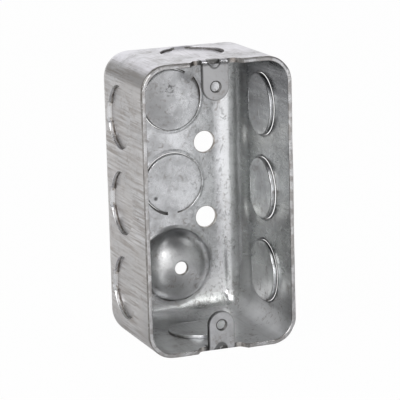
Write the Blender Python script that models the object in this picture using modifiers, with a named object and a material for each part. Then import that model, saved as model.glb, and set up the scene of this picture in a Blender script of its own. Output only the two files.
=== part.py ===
"""Drawn steel utility box for one wiring device.

One blank of sheet steel is drawn into a tray with round corners, so the walls and
the back are a single skin. Ten round knockouts are sheared inward and hang on a
short tie. Two ears are bent down from the end walls, and a domed boss in the back
carries the ground screw. The box stands on its lower end wall, and its open front
faces -Y.
"""
import math

import bmesh
import bpy
from mathutils import Matrix, Vector

MM = 0.001

# The skin
HEIGHT = 101.6 * MM
WIDTH = 54.8 * MM
DEPTH = 47.6 * MM
WALL = 1.6 * MM
CORNER_RADIUS = 9.3 * MM
BACK_RADIUS = 11.7 * MM
BACK_CORNER_RADIUS = 2.4 * MM

# Knockouts
KNOCKOUT_BORE = 22.2 * MM
KNOCKOUT_GAP = 0.25 * MM
KNOCKOUT_SHIFT = 1.45 * MM
KNOCKOUT_EDGE = 0.4 * MM
KNOCKOUT_PITCH = 30.2 * MM
KNOCKOUT_FROM_RIM = 23.3 * MM
WALL_TIE_WIDTH = 6.0 * MM
BACK_TIE_WIDTH = 3.6 * MM
TIE_REACH = 1.3 * MM
TIE_INSET = 0.06 * MM

# Screw holes in the back
SCREW_HOLE = 7.8 * MM
SCREW_HOLE_PITCH = 27.7 * MM
SCREW_HOLE_OFFSET = 12.6 * MM

# Ground boss
BOSS_RADIUS = 13.9 * MM
BOSS_FLAT_RADIUS = 5.0 * MM
BOSS_HEIGHT = 6.8 * MM
BOSS_HOLE = 4.8 * MM

# Ears for the wiring device
EAR_WIDTH = 9.5 * MM
EAR_SET_BACK = 1.8 * MM
EAR_BEND_RADIUS = 2.0 * MM
EAR_HOLE_PITCH = 83.3 * MM
EAR_HOLE = 3.7 * MM
EAR_BEND_HOLE = 4.4 * MM
NOTCH_DEPTH = 3.5 * MM
NOTCH_MOUTH = 19.6 * MM
NOTCH_FLOOR = 14.8 * MM

# Facets
CORNER_STEPS = 5
BACK_STEPS = 7
ROUND_STEPS = 28
SMALL_ROUND_STEPS = 20
BEND_STEPS = 5
BOSS_STEPS = 6

# Overshoot of a cutter past the face that it cuts
OVERSHOOT = 1.0 * MM

FRONT = -DEPTH / 2
BACK = DEPTH / 2
MIDDLE = Vector((0, 0, HEIGHT / 2))


def clear_scene():
    for item in list(bpy.data.objects):
        bpy.data.objects.remove(item, do_unlink=True)
    for item in list(bpy.data.collections):
        bpy.data.collections.remove(item)


def new_collection(name):
    collection = bpy.data.collections.new(name)
    bpy.context.scene.collection.children.link(collection)
    return collection


def new_object(name, mesh_builder, collection, matrix=None):
    """Turn a bmesh into a named object in a collection."""
    mesh = bpy.data.meshes.new(name)
    bmesh.ops.recalc_face_normals(mesh_builder, faces=mesh_builder.faces)
    if matrix is not None:
        mesh_builder.transform(matrix)
    mesh_builder.to_mesh(mesh)
    mesh_builder.free()
    item = bpy.data.objects.new(name, mesh)
    collection.objects.link(item)
    return item


def as_tool(item):
    """Mark an object as a cutter or an addition, which isn't a part itself."""
    item.hide_render = True
    item.display_type = 'WIRE'
    return item


def steel():
    material = bpy.data.materials.new("zinc_coated_steel")
    material.use_nodes = True
    shader = material.node_tree.nodes["Principled BSDF"]
    shader.inputs["Base Color"].default_value = (0.52, 0.53, 0.54, 1.0)
    shader.inputs["Metallic"].default_value = 1.0
    shader.inputs["Roughness"].default_value = 0.38
    return material


def rounded_outline(half_width, half_height, radius):
    """Points of an upright rounded rectangle around the middle of the box, as (x, z)."""
    points = []
    for quarter in range(4):
        along_x = 1 if quarter in (0, 3) else -1
        along_z = 1 if quarter in (0, 1) else -1
        centre = Vector((along_x * (half_width - radius), along_z * (half_height - radius)))
        for step in range(CORNER_STEPS + 1):
            angle = math.pi / 2 * (quarter + step / CORNER_STEPS)
            points.append(centre + radius * Vector((math.cos(angle), math.sin(angle))))
    return points


def drawn_skin(name, collection):
    """Outer surface of the tray, open at the front, thickened inward to the sheet."""
    sections = [(FRONT, 0.0)]
    for step in range(BACK_STEPS + 1):
        angle = math.pi / 2 * step / BACK_STEPS
        sections.append((BACK - BACK_RADIUS * (1 - math.sin(angle)),
                         BACK_RADIUS * (1 - math.cos(angle))))
    builder = bmesh.new()
    loops = []
    for y, pulled_in in sections:
        radius = max(CORNER_RADIUS - pulled_in, BACK_CORNER_RADIUS)
        outline = rounded_outline(WIDTH / 2 - pulled_in, HEIGHT / 2 - pulled_in, radius)
        loops.append([builder.verts.new((p.x, y, p.y + MIDDLE.z)) for p in outline])
    for near, far in zip(loops, loops[1:]):
        for i, corner in enumerate(near):
            following = (i + 1) % len(near)
            builder.faces.new((corner, near[following], far[following], far[i]))
    builder.faces.new(loops[-1])
    skin = new_object(name, builder, collection)
    thicken(skin)
    return skin


def thicken(item):
    """Give a surface the sheet's thickness on its inner side."""
    sheet = item.modifiers.new("sheet", 'SOLIDIFY')
    sheet.thickness = WALL
    sheet.offset = -1
    sheet.use_even_offset = True


def disc(name, radius, low, high, frame, collection, steps=ROUND_STEPS):
    """Cylinder along the local Z axis of frame, between two heights."""
    builder = bmesh.new()
    bmesh.ops.create_cone(
        builder, cap_ends=True, segments=steps, radius1=radius, radius2=radius,
        depth=high - low, matrix=Matrix.Translation((0, 0, (low + high) / 2)))
    return as_tool(new_object(name, builder, collection, frame))


def turned(name, profile, frame, collection):
    """Solid turned around the local Z axis of frame from a profile of (radius, height)."""
    mesh = bpy.data.meshes.new(name)
    points = [(radius, 0, height) for radius, height in profile]
    mesh.from_pydata(points, [(i, i + 1) for i in range(len(points) - 1)], [])
    item = bpy.data.objects.new(name, mesh)
    collection.objects.link(item)
    item.matrix_world = frame
    screw = item.modifiers.new("turn", 'SCREW')
    screw.steps = screw.render_steps = ROUND_STEPS
    screw.use_merge_vertices = True
    screw.merge_threshold = 0.00001
    return as_tool(item)


def frame_at(place, outward_z, toward_x):
    """Frame with its Z axis along one direction and its X axis along another."""
    z_axis = Vector(outward_z).normalized()
    x_axis = Vector(toward_x).normalized()
    y_axis = z_axis.cross(x_axis)
    rotation = Matrix((x_axis, y_axis, z_axis)).transposed().to_4x4()
    return Matrix.Translation(place) @ rotation


def upside_down():
    """Half turn around the Y axis through the middle, which swaps the two ends."""
    return (Matrix.Translation(MIDDLE) @ Matrix.Rotation(math.pi, 4, 'Y')
            @ Matrix.Translation(-MIDDLE))


def knockout(name, place, inward, toward_tie, tie_width, holes, additions):
    """Round slug sheared inward from the outer face at place, on one bent tie."""
    frame = frame_at(place, inward, toward_tie)
    bore = KNOCKOUT_BORE / 2
    disc(name + "_bore", bore, -OVERSHOOT, WALL + OVERSHOOT, frame, holes)
    rim = bore - KNOCKOUT_GAP
    inner_face = KNOCKOUT_SHIFT + WALL
    turned(name + "_slug", [
        (0, inner_face),
        (rim - KNOCKOUT_EDGE, inner_face),
        (rim, inner_face - KNOCKOUT_EDGE),
        (rim, KNOCKOUT_SHIFT),
        (0, KNOCKOUT_SHIFT)], frame, additions)

    # Tie: a strip that steps from the wall's thickness to the slug's
    builder = bmesh.new()
    bmesh.ops.create_cube(builder, size=1.0)
    for corner in builder.verts:
        on_wall = corner.co.x > 0
        radial = bore + TIE_REACH if on_wall else bore - TIE_REACH
        step_down = 0.0 if on_wall else KNOCKOUT_SHIFT
        depth = WALL - TIE_INSET if corner.co.z > 0 else TIE_INSET
        side = math.copysign(tie_width / 2, corner.co.y)
        corner.co = (radial, side, step_down + depth)
    as_tool(new_object(name + "_tie", builder, additions, frame))


def knockouts(holes, additions):
    across = KNOCKOUT_FROM_RIM + FRONT
    for row, lift in (("lower", -KNOCKOUT_PITCH), ("middle", 0.0), ("upper", KNOCKOUT_PITCH)):
        height = HEIGHT / 2 + lift
        for side, sign in (("left", -1), ("right", 1)):
            knockout(side + "_" + row, (sign * WIDTH / 2, across, height), (-sign, 0, 0),
                     (0, 1, 0), WALL_TIE_WIDTH, holes, additions)
    knockout("bottom", (0, across, 0), (0, 0, 1), (0, 1, 0), WALL_TIE_WIDTH, holes, additions)
    knockout("top", (0, across, HEIGHT), (0, 0, -1), (0, 1, 0), WALL_TIE_WIDTH, holes, additions)
    knockout("back_middle", (0, BACK, HEIGHT / 2), (0, -1, 0), (0, 0, -1),
             BACK_TIE_WIDTH, holes, additions)
    knockout("back_upper", (0, BACK, HEIGHT / 2 + KNOCKOUT_PITCH), (0, -1, 0),
             (math.sqrt(0.5), 0, math.sqrt(0.5)), BACK_TIE_WIDTH, holes, additions)


def screw_holes(holes):
    for name, sign in (("lower", -1), ("upper", 1)):
        place = (SCREW_HOLE_OFFSET, BACK, HEIGHT / 2 + sign * SCREW_HOLE_PITCH / 2)
        disc(name + "_screw_hole", SCREW_HOLE / 2, -OVERSHOOT, WALL + OVERSHOOT,
             frame_at(place, (0, -1, 0), (1, 0, 0)), holes, SMALL_ROUND_STEPS)


def ground_boss(additions, late_cuts):
    """Dome pushed in from the back, with an even wall and a hole in its flat top."""
    # Heights count from the inner face of the back, toward the front
    frame = frame_at((0, BACK - WALL, HEIGHT / 2 - KNOCKOUT_PITCH), (0, -1, 0), (1, 0, 0))
    spread = BOSS_RADIUS - BOSS_FLAT_RADIUS
    curve = (spread ** 2 + BOSS_HEIGHT ** 2) / (2 * BOSS_HEIGHT)
    centre = BOSS_HEIGHT - curve

    def flank(radius, last_angle):
        angles = [last_angle * step / BOSS_STEPS for step in range(BOSS_STEPS + 1)]
        return [(BOSS_FLAT_RADIUS + radius * math.sin(a), centre + radius * math.cos(a))
                for a in angles]

    outside = flank(curve, math.asin(spread / curve))
    sunk = -WALL / 2
    turned("boss", [(0, BOSS_HEIGHT)] + outside + [(BOSS_RADIUS, sunk), (0, sunk)],
           frame, additions)
    inside = flank(curve - WALL, math.pi / 2)
    beyond = min(centre, -WALL) - OVERSHOOT
    turned("boss_hollow", [(0, BOSS_HEIGHT - WALL)] + inside
           + [(inside[-1][0], beyond), (0, beyond)], frame, late_cuts)
    disc("boss_hole", BOSS_HOLE / 2, BOSS_HEIGHT - WALL - OVERSHOOT, BOSS_HEIGHT + OVERSHOOT,
         frame, late_cuts, SMALL_ROUND_STEPS)


def ear(name, placing, holes, additions, late_cuts):
    """Ear bent down from an end wall's notched edge; built at the top, then placed."""
    end_gap = (HEIGHT - EAR_HOLE_PITCH) / 2
    hole_height = HEIGHT - end_gap
    face = FRONT + EAR_SET_BACK
    bend_start = face + EAR_BEND_RADIUS

    # Notch in the wall's front edge, with sloping ends
    builder = bmesh.new()
    bmesh.ops.create_cube(builder, size=1.0)
    slope = (NOTCH_MOUTH - NOTCH_FLOOR) / 2 / NOTCH_DEPTH
    for corner in builder.verts:
        deep = corner.co.y > 0
        half = NOTCH_FLOOR / 2 if deep else NOTCH_MOUTH / 2 + slope * OVERSHOOT
        corner.co = (math.copysign(half, corner.co.x),
                     FRONT + (NOTCH_DEPTH if deep else -OVERSHOOT),
                     HEIGHT + (OVERSHOOT if corner.co.z > 0 else -WALL - OVERSHOOT))
    as_tool(new_object(name + "_notch", builder, holes, placing))

    # Ear: rows of two points along the outer face, from the wall to the round tip
    half_width = EAR_WIDTH / 2
    rows = [(half_width, bend_start + WALL, HEIGHT)]
    for step in range(BEND_STEPS + 1):
        angle = math.pi / 2 * step / BEND_STEPS
        rows.append((half_width, bend_start - EAR_BEND_RADIUS * math.sin(angle),
                     HEIGHT - EAR_BEND_RADIUS * (1 - math.cos(angle))))
    tip_steps = ROUND_STEPS // 4
    for step in range(tip_steps):
        angle = math.pi / 2 * step / tip_steps
        rows.append((half_width * math.cos(angle), face, hole_height - half_width * math.sin(angle)))
    builder = bmesh.new()
    pairs = [[builder.verts.new((-half, y, z)), builder.verts.new((half, y, z))]
             for half, y, z in rows]
    for (left, right), (next_left, next_right) in zip(pairs, pairs[1:]):
        builder.faces.new((left, next_left, next_right, right))
    tip = builder.verts.new((0, face, hole_height - half_width))
    builder.faces.new((pairs[-1][0], tip, pairs[-1][1]))
    strip = new_object(name, builder, additions, placing)
    thicken(as_tool(strip))

    # Screw hole in the ear, and the round hole that eases the bend
    disc(name + "_hole", EAR_HOLE / 2, -OVERSHOOT, WALL + OVERSHOOT,
         placing @ frame_at((0, face, hole_height), (0, 1, 0), (1, 0, 0)), late_cuts,
         SMALL_ROUND_STEPS)
    disc(name + "_bend_hole", EAR_BEND_HOLE / 2, -OVERSHOOT, EAR_BEND_RADIUS + WALL,
         placing @ frame_at((0, face, HEIGHT), (0, 1, -1), (1, 0, 0)), late_cuts,
         SMALL_ROUND_STEPS)


def combine(item, operation, operands, name):
    modifier = item.modifiers.new(name, 'BOOLEAN')
    modifier.operation = operation
    modifier.solver = 'EXACT'
    modifier.operand_type = 'COLLECTION'
    modifier.collection = operands


def main():
    clear_scene()
    parts = new_collection("utility_box")
    holes = new_collection("first_cuts")
    additions = new_collection("formed_metal")
    late_cuts = new_collection("last_cuts")

    box = drawn_skin("box_shell", parts)
    knockouts(holes, additions)
    screw_holes(holes)
    ground_boss(additions, late_cuts)
    ear("top_ear", Matrix.Identity(4), holes, additions, late_cuts)
    ear("bottom_ear", upside_down(), holes, additions, late_cuts)

    combine(box, 'DIFFERENCE', holes, "bores_and_notches")
    combine(box, 'UNION', additions, "slugs_ears_boss")
    combine(box, 'DIFFERENCE', late_cuts, "holes_in_formed_metal")
    box.data.materials.append(steel())
    box.data.shade_smooth()
    box.data.set_sharp_from_angle(angle=math.radians(30))


main()
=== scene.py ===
"""Looks of the drawn steel utility box: one operator for each formed feature and one for the studio."""

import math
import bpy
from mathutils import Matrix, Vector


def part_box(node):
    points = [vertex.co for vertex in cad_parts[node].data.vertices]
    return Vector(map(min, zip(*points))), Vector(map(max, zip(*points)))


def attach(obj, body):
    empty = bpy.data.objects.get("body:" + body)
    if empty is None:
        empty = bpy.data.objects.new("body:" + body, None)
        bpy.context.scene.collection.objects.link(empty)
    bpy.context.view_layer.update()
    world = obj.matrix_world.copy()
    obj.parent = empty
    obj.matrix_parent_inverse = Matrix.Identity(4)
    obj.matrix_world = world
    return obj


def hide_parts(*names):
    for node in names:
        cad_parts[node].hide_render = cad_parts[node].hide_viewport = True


bl_info = {
    "name": "Drawn Utility Box",
    "version": (1, 0, 0),
    "blender": (4, 5, 0),
    "location": "View3D > Sidebar > Utility Box",
    "description": "Builds a zinc coated steel utility box with knockouts, ears and a ground boss",
    "category": "Add Mesh",
}

import bmesh
import bpy
from bpy.props import FloatProperty, FloatVectorProperty, IntProperty, PointerProperty
from mathutils import Matrix, Vector

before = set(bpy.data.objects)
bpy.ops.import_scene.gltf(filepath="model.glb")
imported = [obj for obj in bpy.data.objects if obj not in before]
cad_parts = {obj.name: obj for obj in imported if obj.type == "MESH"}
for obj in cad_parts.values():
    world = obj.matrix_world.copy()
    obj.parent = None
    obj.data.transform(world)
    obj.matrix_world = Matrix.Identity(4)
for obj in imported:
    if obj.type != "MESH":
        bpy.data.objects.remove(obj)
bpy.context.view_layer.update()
LOW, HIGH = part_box("box_shell")
WIDTH = HIGH.x - LOW.x
HEIGHT = HIGH.z - LOW.z
FRONT = LOW.y
BACK = HIGH.y
MM = 0.001
MIDDLE = Vector((0, 0, HEIGHT / 2))
# The front plane, the back plane and the middle height in millimetres, for the shader sums
RIM, REAR, MID = FRONT / MM, BACK / MM, HEIGHT / 2 / MM
# Overshoot of a cutter past the face that it cuts
PAST = 1 * MM
# How far a joined piece lies under the face that it's flush with
SUNK = 0.02 * MM
# Ties wider than this hold the walls' slugs, and narrower ones hold the back's
WALL_TIE_FROM = 5 * MM
# Corners that a cut leaves closer than this are one corner
SAME_CORNER = 0.0005 * MM
# Material slots of every piece
COATED, SHEARED = 0, 1


# Sizes and colours

def length(label, text, size):
    return FloatProperty(
        name=label, description=text, default=size, min=0.0, unit='LENGTH', precision=5)


def facets(text, count, least):
    return IntProperty(name="Steps", description=text, default=count, min=least)


def swatch(label, text, shade):
    return FloatVectorProperty(
        name=label, description=text, subtype='COLOR', default=shade, min=0.0, max=1.0)


def fraction(label, text, share):
    return FloatProperty(
        name=label, description=text, default=share, min=0.0, max=1.0, subtype='FACTOR')


def power(label, text, watts):
    return FloatProperty(name=label, description=text, default=watts, subtype='POWER')


class SkinSizes(bpy.types.PropertyGroup):
    sheet: length("Sheet", "Thickness of the steel sheet", 1.6 * MM)
    corner: length("Corner", "Outer radius of the four upright corners", 9.3 * MM)
    heel: length("Heel", "Outer radius where the walls turn into the back", 11.7 * MM)
    heel_corner: length("Heel corner", "Least plan radius at the back's corners", 2.4 * MM)
    lip_outside: length("Rim outside", "Rounding of the rim's outer edge", 0.75 * MM)
    lip_inside: length("Rim inside", "Rounding of the rim's inner edge", 0.35 * MM)
    rim_wave: length("Rim wave", "How far the trimmed rim dips behind the front plane", 0.35 * MM)
    notch_depth: length("Notch depth", "Depth of the notch that frees each ear", 3.5 * MM)
    notch_mouth: length("Notch mouth", "Width of a notch at the rim", 19.6 * MM)
    notch_floor: length("Notch floor", "Width of a notch at its floor", 14.8 * MM)
    screw_hole: length("Screw hole", "Diameter of the two holes in the back", 7.8 * MM)
    screw_pitch: length("Screw pitch", "Distance between the holes in the back", 27.7 * MM)
    screw_side: length("Screw side", "Distance of those holes from the middle", 12.6 * MM)
    steps: facets("Facets along a rounded corner", 20, 4)


class KnockoutSizes(bpy.types.PropertyGroup):
    bore: length("Bore", "Diameter of the sheared ring", 22.2 * MM)
    crack: length("Crack", "Width of the sheared gap", 0.13 * MM)
    shift: length("Shift", "How far each slug is pushed inward", 1.45 * MM)
    back_step: length("Back step", "Step of the two back slugs at their tie", 0.35 * MM)
    end_step: length("End step", "Step of the two end walls' slugs at their tie", 0.75 * MM)
    pitch: length("Pitch", "Distance between knockouts in a row", 30.2 * MM)
    from_rim: length("From rim", "Distance of the wall knockouts from the rim", 23.3 * MM)
    edge: length("Edge", "Rounding of the bore's outer edge", 0.12 * MM)
    land: length("Land", "Depth of the burnished part of the sides' bores", 0.95 * MM)
    back_land: length("Back land", "Depth of that part in the end walls and the back", 0.25 * MM)
    dish_spread: length("Dish spread", "Length of the slope outside the bore at a wall's tie", 2.3 * MM)
    dish: length("Dish", "How far the middle of a slug lies below its edge", 0.4 * MM)
    roll: length("Roll", "Rounding of a slug's inner edge", 0.5 * MM)
    lip: length("Lip", "Height of the metal dragged up round a knockout", 0.2 * MM)
    gap: length("Gap", "Greatest width of the gap beside a tie", 0.8 * MM)
    wall_tie: length("Wall tie", "Width of the tie of a wall knockout", 6.0 * MM)
    back_tie: length("Back tie", "Width of the tie of a back knockout", 3.6 * MM)
    steps: facets("Facets round a knockout", 96, 12)


class BossSizes(bpy.types.PropertyGroup):
    radius: length("Radius", "Radius of the boss at its foot", 13.3 * MM)
    height: length("Height", "Height of the boss above the back", 6.8 * MM)
    swell: FloatProperty(
        name="Swell", description="Fullness of the boss: higher is flatter on top",
        default=2.6, min=1.5)
    hole: length("Hole", "Diameter of the ground screw's hole", 4.8 * MM)
    toe: length("Toe", "Rounding at the foot of the boss", 0.95 * MM)
    steps: facets("Facets round the boss", 128, 12)


class EarSizes(bpy.types.PropertyGroup):
    width: length("Width", "Width of an ear", 9.5 * MM)
    set_back: length("Set back", "Distance of an ear's face from the rim", 1.8 * MM)
    bend: length("Bend", "Outer radius of an ear's bend", 2.0 * MM)
    hole_pitch: length("Hole pitch", "Distance between the two ears' holes", 83.3 * MM)
    hole: length("Hole", "Diameter of an ear's screw hole", 3.6 * MM)
    bend_hole: length("Bend hole", "Diameter of the hole that eases the bend", 4.4 * MM)
    bend_hole_back: length(
        "Bend hole back", "How far that hole lies behind the bend's corner", 0.35 * MM)
    edge: length("Edge", "Rounding of an ear's edges", 0.28 * MM)


class SteelLook(bpy.types.PropertyGroup):
    zinc: swatch("Zinc", "Colour of the clean zinc coat", (0.72, 0.72, 0.73))
    # Painted light and shade by which way a face looks: a greenish reflected tone on the walls inside,
    # a lighter back, darker and browner side walls, lighter and lilac end walls
    inner_reflection_tint: swatch("Inner walls", "Colour of the walls' inner faces", (0.72, 0.74, 0.72))
    back_painted_light: swatch("Back", "Colour of the back's inner face", (0.86, 0.87, 0.90))
    side_painted_shade: swatch("Sides", "Colour of the side walls' outer faces", (0.46, 0.445, 0.44))
    end_painted_light: swatch("Ends", "Colour of the end walls' outer faces", (0.76, 0.75, 0.80))
    boss_tint: swatch("Boss", "Colour of the ground boss", (0.62, 0.625, 0.635))
    # Darker tone of the ears, with painted shade that makes the upper ear darker than the lower
    ear_tone_and_shade: swatch("Ears", "Colour of the ears", (0.48, 0.48, 0.49))
    # Painted shade: colour of the darker upper part of the right wall and of the boss's top
    shade: swatch("Shade", "Colour of the dull upper part of the right wall", (0.22, 0.22, 0.23))
    # Real burnish with painted sheen on the bends inside, and a painted highlight on the side walls'
    # bore edges
    burnish_and_sheen: swatch("Burnish", "Colour of the burnished bends", (0.85, 0.86, 0.88))
    # Real dull patches, and also painted shade on the left of the back's upper slug
    tarnish_and_shade: swatch("Tarnish", "Colour of the dull patches", (0.45, 0.45, 0.46))
    # Painted light: lighter colour of the lower walls inside and of the boss's two highlights
    painted_light: swatch("Polish", "Colour of the rubbed lower walls inside", (0.95, 0.955, 0.96))
    scuff: swatch("Scuff", "Colour of the draw marks on the outer walls", (0.33, 0.30, 0.28))
    # Dark gouges and nicks, and also painted shade on the ears, in the bores, round the tip and on the
    # right slugs
    gouge_and_shade: swatch("Soot", "Colour of the dark gouges", (0.12, 0.12, 0.12))
    edge: swatch("Edge", "Colour of the sheared edges", (0.58, 0.56, 0.54))
    roughness: fraction("Roughness", "Roughness of the clean zinc", 0.25)


class StageLook(bpy.types.PropertyGroup):
    floor: swatch("Floor", "Colour of the floor", (0.9, 0.9, 0.9))
    key: power("Key", "Power of the high lamp on the left", 1.9)
    front: power("Front", "Power of the wide front lamp", 0.75)
    left: power("Left", "Power of the low lamp on the left", 2.4)
    spark: power("Spark", "Power of the small front lamp", 0.7)
    top: power("Top", "Power of the narrow lamp overhead", 0.7)
    rear: power("Rear", "Power of the lamp behind the box", 2.35)
    room: FloatProperty(name="Room", description="Light of the room on the floor", default=0.22)
    mirrored: fraction("Mirrored", "Share of the white room that the metal shows", 0.36)
    lens: FloatProperty(
        name="Lens", description="Focal length of the camera", default=198.35 * MM, unit='CAMERA')


# Mesh tools

def new_piece(name, builder, place=None):
    """Turn a bmesh into a named object with outward faces."""
    bmesh.ops.recalc_face_normals(builder, faces=builder.faces)
    if place is not None:
        builder.transform(place)
    mesh = bpy.data.meshes.new(name)
    builder.to_mesh(mesh)
    builder.free()
    piece = bpy.data.objects.new(name, mesh)
    bpy.context.scene.collection.objects.link(piece)
    return piece


def cutting_tool(name, builder, place=None, smooth_depth=-1.0):
    """Cutter whose cuts are sheared below a depth in its own frame, and coated above it."""
    for face in builder.faces:
        deep = face.calc_center_median().z > smooth_depth
        face.material_index = SHEARED if deep else COATED
    return new_piece(name, builder, place)


def frame_at(place, z_axis, x_axis):
    """Place and turn of a local frame."""
    z_axis = Vector(z_axis).normalized()
    x_axis = Vector(x_axis).normalized()
    turn = Matrix((x_axis, z_axis.cross(x_axis), z_axis)).transposed().to_4x4()
    return Matrix.Translation(place) @ turn


def turned(builder, profile, steps, place=None):
    """Add a closed form turned round Z from (radius, height) points, or a function of the angle."""
    rings = []
    angles = [math.tau * i / steps for i in range(steps)]
    columns = [profile(angle) if callable(profile) else profile for angle in angles]
    for row in zip(*columns):
        if row[0][0] < 1e-7:
            rings.append([builder.verts.new((0, 0, row[0][1]))])
        else:
            rings.append([
                builder.verts.new((radius * math.cos(angle), radius * math.sin(angle), height))
                for angle, (radius, height) in zip(angles, row)])
    for near, far in zip(rings, rings[1:] + rings[:1]):
        for i in range(steps):
            following = (i + 1) % steps
            if len(near) == 1 and len(far) > 1:
                builder.faces.new((near[0], far[following], far[i]))
            elif len(far) == 1 and len(near) > 1:
                builder.faces.new((near[i], near[following], far[0]))
            elif len(near) > 1:
                builder.faces.new((near[i], near[following], far[following], far[i]))
    if place is not None:
        made = [corner for ring in rings for corner in ring]
        bmesh.ops.transform(builder, matrix=place, verts=made)


def tube(builder, rings, sheared=()):
    """Join rings of corners and close both ends; sheared numbers the sides that are bare steel."""
    for near, far in zip(rings, rings[1:]):
        for i in range(len(near)):
            following = (i + 1) % len(near)
            face = builder.faces.new((near[i], near[following], far[following], far[i]))
            face.material_index = SHEARED if i in sheared else COATED
    builder.faces.new(rings[0])
    builder.faces.new(rings[-1])


def arc(centre, radius, start, end, steps):
    """Points of an arc as (across, up) pairs, with angles in degrees."""
    angles = [math.radians(start + (end - start) * i / steps) for i in range(steps + 1)]
    return [(centre[0] + radius * math.cos(angle), centre[1] + radius * math.sin(angle))
            for angle in angles]


def rounded_outline(half_width, half_height, radius, steps, fill=24):
    """Points of an upright rounded rectangle round the box's middle, with their outward directions."""
    points = []
    for quarter in range(4):
        x_sign = 1 if quarter in (0, 3) else -1
        z_sign = 1 if quarter in (0, 1) else -1
        centre = Vector((x_sign * (half_width - radius), 0,
                         MIDDLE.z + z_sign * (half_height - radius)))
        for step in range(steps + 1):
            angle = math.pi / 2 * (quarter + step / steps)
            out = Vector((math.cos(angle), 0, math.sin(angle)))
            points.append((centre + radius * out, out))
        along = 2 * (half_height - radius if quarter % 2 else half_width - radius)
        side = Vector((-out.z, 0, out.x))
        start = points[-1][0]
        points += [(start + side * (along * i / fill), out) for i in range(1, fill)]
    return points


def smooth(share):
    """0 to 1 with level ends."""
    share = min(max(share, 0.0), 1.0)
    return share * share * (3 - 2 * share)


def wobble(share, seed):
    """Smooth uneven line from 0 to 1 that closes on itself; share runs from 0 to 1 round the loop."""
    waves = ((3, 0.8), (7, 1.0), (13, 0.9), (22, 0.7), (37, 0.5), (59, 0.35))
    total = 0.0
    for turn, (rate, size) in enumerate(waves):
        total += size * math.sin(math.tau * (rate * share + 0.37 * seed * (turn + 1) + 0.19 * turn))
    return min(max(0.5 + 0.2 * total, 0.0), 1.0)


def thread(crest, root, start, depth):
    """Section of a tapped hole's four grooves, from start over a depth."""
    turns = 4
    points = []
    for i in range(turns):
        base = start + i * depth / turns
        points += [(crest, base), (root, base + 0.13 * MM)]
    return points


def placeholders(piece):
    """Empty material slots, so that a cut keeps each face's number."""
    while len(piece.data.materials) <= SHEARED:
        piece.data.materials.append(None)


def carve(piece, cutters, crossing=False):
    """Cut the tools out of a piece and drop them; crossing is for bent sheet."""
    placeholders(piece)
    for cutter in cutters:
        placeholders(cutter)
        modifier = piece.modifiers.new("cut", 'BOOLEAN')
        modifier.operation = 'DIFFERENCE'
        modifier.solver = 'EXACT'
        modifier.use_self = crossing
        modifier.object = cutter
    settle(piece)
    weld(piece)
    for cutter in cutters:
        bpy.data.objects.remove(cutter, do_unlink=True)


def settle(piece):
    """Bake a piece's modifiers into its mesh."""
    graph = bpy.context.evaluated_depsgraph_get()
    mesh = bpy.data.meshes.new_from_object(piece.evaluated_get(graph))
    old = piece.data
    piece.modifiers.clear()
    piece.data = mesh
    bpy.data.meshes.remove(old)
    mesh.name = piece.name


def weld(piece):
    """Join corners that a cut left lying on each other; the piece has to be closed afterwards."""
    builder = bmesh.new()
    builder.from_mesh(piece.data)
    bmesh.ops.remove_doubles(builder, verts=builder.verts, dist=SAME_CORNER)
    closed = all(edge.is_manifold for edge in builder.edges)
    builder.to_mesh(piece.data)
    builder.free()
    if not closed:
        raise RuntimeError(piece.name + " isn't closed after its cuts")


def finish_piece(piece, sharp=32):
    """Shade smoothly, with edges crisp above an angle in degrees, coat with both metals and join."""
    piece.data.shade_smooth()
    piece.data.set_sharp_from_angle(angle=math.radians(sharp))
    weighted = piece.modifiers.new("even_light", 'WEIGHTED_NORMAL')
    weighted.mode = 'FACE_AREA'
    weighted.weight = 50
    weighted.keep_sharp = True
    marks = [face.material_index for face in piece.data.polygons]
    piece.data.materials.clear()
    piece.data.materials.append(zinc_steel())
    piece.data.materials.append(sheared_steel())
    for face, mark in zip(piece.data.polygons, marks):
        face.material_index = min(mark, SHEARED)
    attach(piece, "root")


# Shader sums

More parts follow.
